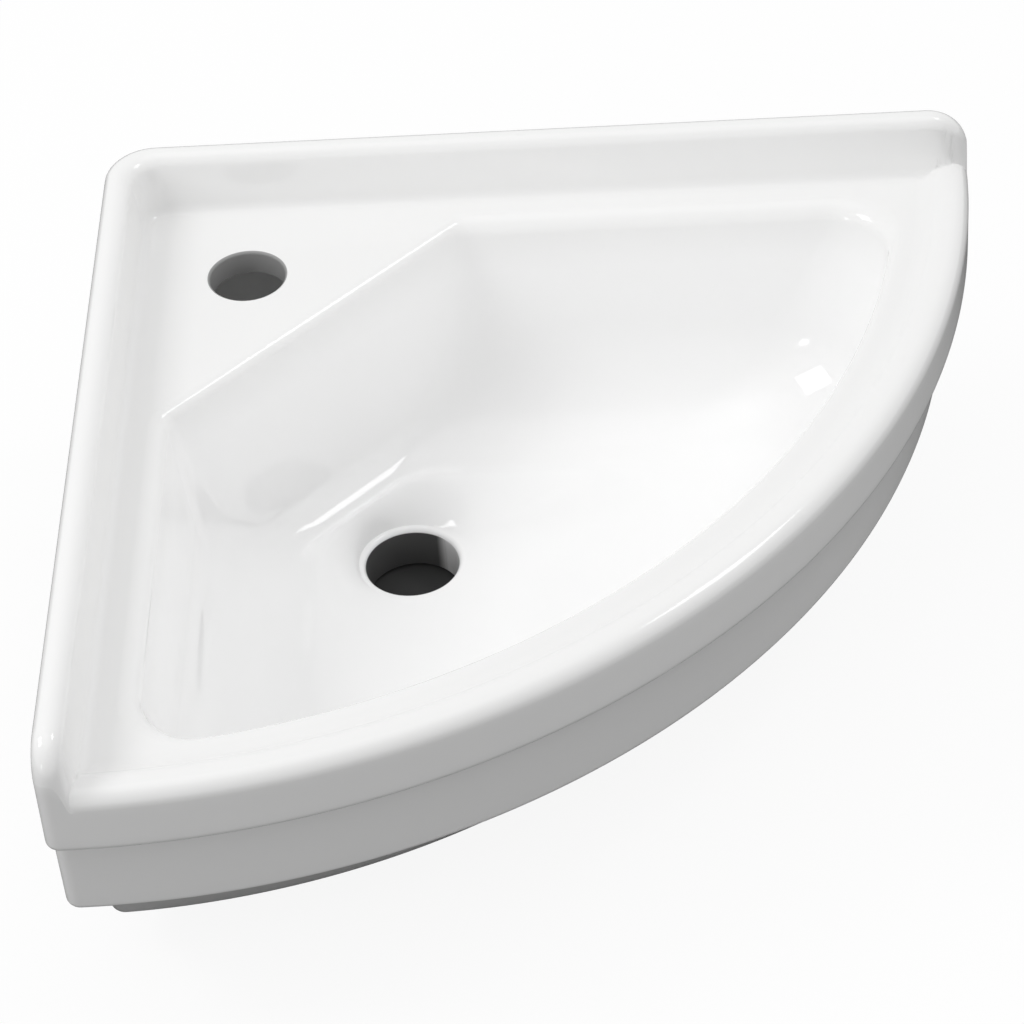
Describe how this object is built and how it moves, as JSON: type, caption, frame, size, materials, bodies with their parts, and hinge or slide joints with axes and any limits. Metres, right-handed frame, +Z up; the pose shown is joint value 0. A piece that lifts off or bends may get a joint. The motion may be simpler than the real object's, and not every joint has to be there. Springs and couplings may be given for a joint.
{
  "type": "corner basin",
  "caption": "Wall-hung corner basin in white glazed china: raised back edge along both walls, curved stepped front, tap hole in the corner deck and a central waste hole.",
  "frame": {"origin": "axis of the waste hole at the underside of the waste outlet", "axes": "+Z up along the waste hole; the left wall plane faces -X, the right wall plane faces +Y, and the curved front faces +X -Y"},
  "size_m": [0.404, 0.404, 0.1725],
  "materials": {
    "china": "gloss",
    "sleeve": "matte"
  },
  "bodies": {
    "root": {"basin_body": "china", "wall_sleeve_left": "sleeve", "wall_sleeve_right": "sleeve"}
  },
  "joints": []
}
